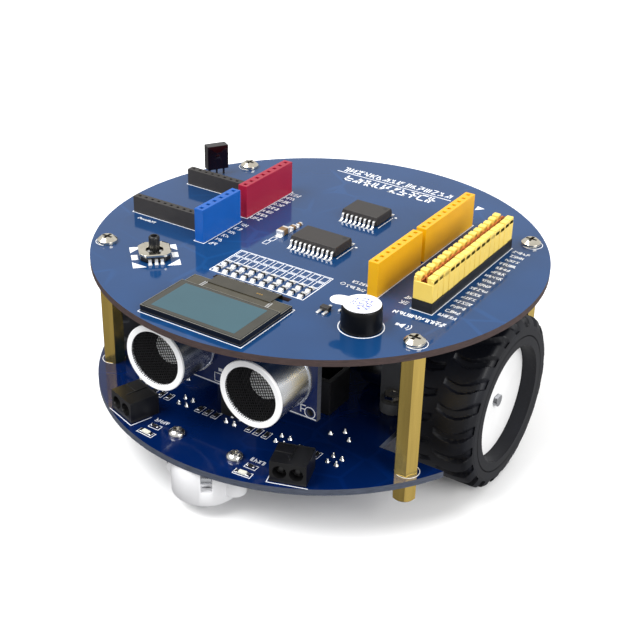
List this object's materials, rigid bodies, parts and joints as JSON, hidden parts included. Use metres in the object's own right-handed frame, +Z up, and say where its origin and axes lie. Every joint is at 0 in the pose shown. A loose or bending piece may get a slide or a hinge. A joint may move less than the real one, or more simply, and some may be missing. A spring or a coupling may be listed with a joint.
{
  "type": "line follower robot",
  "caption": "Small round two-deck wheeled robot with a ball caster, distance, line and obstacle sensors, display, joystick and shield sockets, for following lines.",
  "frame": {"origin": "on the ground under the middle of the round boards", "axes": "+Z up, front of the robot (distance sensor) towards -Y, wheels' axle along X"},
  "size_m": [0.11, 0.11, 0.0561],
  "materials": {
    "blue_board": "gloss solder mask",
    "brass": "machined",
    "nickel_steel": "nickel plated",
    "white_nylon": "satin",
    "bearing_steel": "polished",
    "tyre_rubber": "matte",
    "wheel_white": "satin",
    "motor_steel": "zinc plated",
    "black_plastic": "satin",
    "contact_metal": "tin plated",
    "trimmer_blue": "satin",
    "lens_white": "satin",
    "can_aluminium": "satin",
    "mesh_metal": "woven",
    "display_glass": "gloss",
    "flex_film": "satin",
    "yellow_plastic": "satin",
    "blue_plastic": "satin",
    "red_plastic": "satin",
    "cream_plastic": "satin",
    "seal_film": "paper",
    "ceramic_parts": "matte"
  },
  "bodies": {
    "chassis": {"lower_board": "blue_board", "upper_board": "blue_board", "standoffs": "brass", "foot_spacers": "brass", "deck_screws": "nickel_steel", "small_screws": "nickel_steel", "caster_housing": "white_nylon", "gearbox_right": "brass", "gearbox_left": "brass", "motor_right": "motor_steel", "motor_left": "motor_steel", "motor_bracket_right": "white_nylon", "motor_bracket_left": "white_nylon", "battery_holder": "black_plastic", "battery_contacts": "contact_metal", "power_switch": "black_plastic", "trimmers": "trimmer_blue", "line_sensors": "black_plastic", "rgb_leds": "lens_white", "proximity_sensor_right": "black_plastic", "proximity_sensor_left": "black_plastic", "sonar_board": "blue_board", "sonar_receiver": "can_aluminium", "sonar_transmitter": "can_aluminium", "sonar_meshes": "mesh_metal", "sonar_header": "black_plastic", "sonar_socket": "black_plastic", "sockets_digital": "yellow_plastic", "socket_analog": "blue_plastic", "socket_power": "red_plastic", "radio_sockets": "black_plastic", "jumper_header": "black_plastic", "jumper_caps": "cream_plastic", "oled_panel": "display_glass", "oled_flex": "flex_film", "joystick_base": "contact_metal", "buzzer": "black_plastic", "buzzer_seal": "seal_film", "ir_receiver": "black_plastic", "logic_chips": "black_plastic", "smd_parts": "ceramic_parts", "link_headers": "black_plastic", "bracket_nuts": "nickel_steel"},
    "wheel_right": {"tyre_right": "tyre_rubber", "wheel_disc_right": "wheel_white", "output_shaft_right": "bearing_steel"},
    "wheel_left": {"tyre_left": "tyre_rubber", "wheel_disc_left": "wheel_white", "output_shaft_left": "bearing_steel"},
    "caster_ball": {"caster_ball": "bearing_steel"},
    "caster_roller_front": {"caster_roller_front": "bearing_steel"},
    "caster_roller_rear": {"caster_roller_rear": "bearing_steel"},
    "caster_roller_side": {"caster_roller_side": "bearing_steel"},
    "joystick_yoke": {"joystick_yoke": "contact_metal"},
    "joystick_rocker": {"joystick_rocker": "contact_metal"},
    "joystick_stem": {"joystick_stem": "black_plastic"},
    "power_switch_slider": {"power_switch_slider": "black_plastic"},
    "trimmer_rotor_right": {"trimmer_rotor_right": "lens_white"},
    "trimmer_rotor_left": {"trimmer_rotor_left": "lens_white"}
  },
  "joints": [
    {"name": "wheel_right_spin", "type": "hinge", "parent": "chassis", "child": "wheel_right", "pos_m": [0.0435, 0, 0.021], "axis": [1, 0, 0], "continuous": true},
    {"name": "wheel_left_spin", "type": "hinge", "parent": "chassis", "child": "wheel_left", "pos_m": [-0.0435, 0, 0.021], "axis": [1, 0, 0], "continuous": true},
    {"name": "caster_ball_roll", "type": "hinge", "parent": "chassis", "child": "caster_ball", "pos_m": [0, -0.0468, 0.006], "axis": [1, 0, 0], "continuous": true},
    {"name": "caster_roller_front_spin", "type": "hinge", "parent": "chassis", "child": "caster_roller_front", "pos_m": [0.00366, -0.05148, 0.01016], "axis": [0.788, 0.6157, 0], "continuous": true},
    {"name": "caster_roller_rear_spin", "type": "hinge", "parent": "chassis", "child": "caster_roller_rear", "pos_m": [0.00223, -0.04129, 0.01016], "axis": [-0.9272, 0.3746, 0], "continuous": true},
    {"name": "caster_roller_side_spin", "type": "hinge", "parent": "chassis", "child": "caster_roller_side", "pos_m": [-0.00588, -0.04763, 0.01016], "axis": [0.1392, -0.9903, 0], "continuous": true},
    {"name": "joystick_yoke_tilt", "type": "hinge", "parent": "chassis", "child": "joystick_yoke", "pos_m": [-0.0278, -0.0288, 0.04862], "axis": [0.7071, 0.7071, 0], "range_deg": [-6, 6], "stiffness_Nm_per_rad": 0.02},
    {"name": "joystick_rocker_tilt", "type": "hinge", "parent": "joystick_yoke", "child": "joystick_rocker", "pos_m": [-0.0278, -0.0288, 0.04862], "axis": [-0.7071, 0.7071, 0], "range_deg": [-6, 6], "stiffness_Nm_per_rad": 0.02},
    {"name": "joystick_press", "type": "slide", "parent": "joystick_rocker", "child": "joystick_stem", "axis": [0, 0, 1], "range_m": [-0.00025, 0], "stiffness_N_per_m": 800},
    {"name": "power_switch_slide", "type": "slide", "parent": "chassis", "child": "power_switch_slider", "axis": [1, 0, 0], "range_m": [0, 0.002]},
    {"name": "trimmer_right_turn", "type": "hinge", "parent": "chassis", "child": "trimmer_rotor_right", "pos_m": [0.0232, -0.0254, 0.0095], "axis": [0, 0, -1], "range_deg": [-130, 130]},
    {"name": "trimmer_left_turn", "type": "hinge", "parent": "chassis", "child": "trimmer_rotor_left", "pos_m": [-0.0232, -0.0254, 0.0095], "axis": [0, 0, -1], "range_deg": [-130, 130]}
  ],
  "couplings": [
    {"joint": "caster_roller_front_spin", "follows": "caster_ball_roll", "ratio": -3.9401},
    {"joint": "caster_roller_rear_spin", "follows": "caster_ball_roll", "ratio": 4.6359},
    {"joint": "caster_roller_side_spin", "follows": "caster_ball_roll", "ratio": -0.6959}
  ]
}
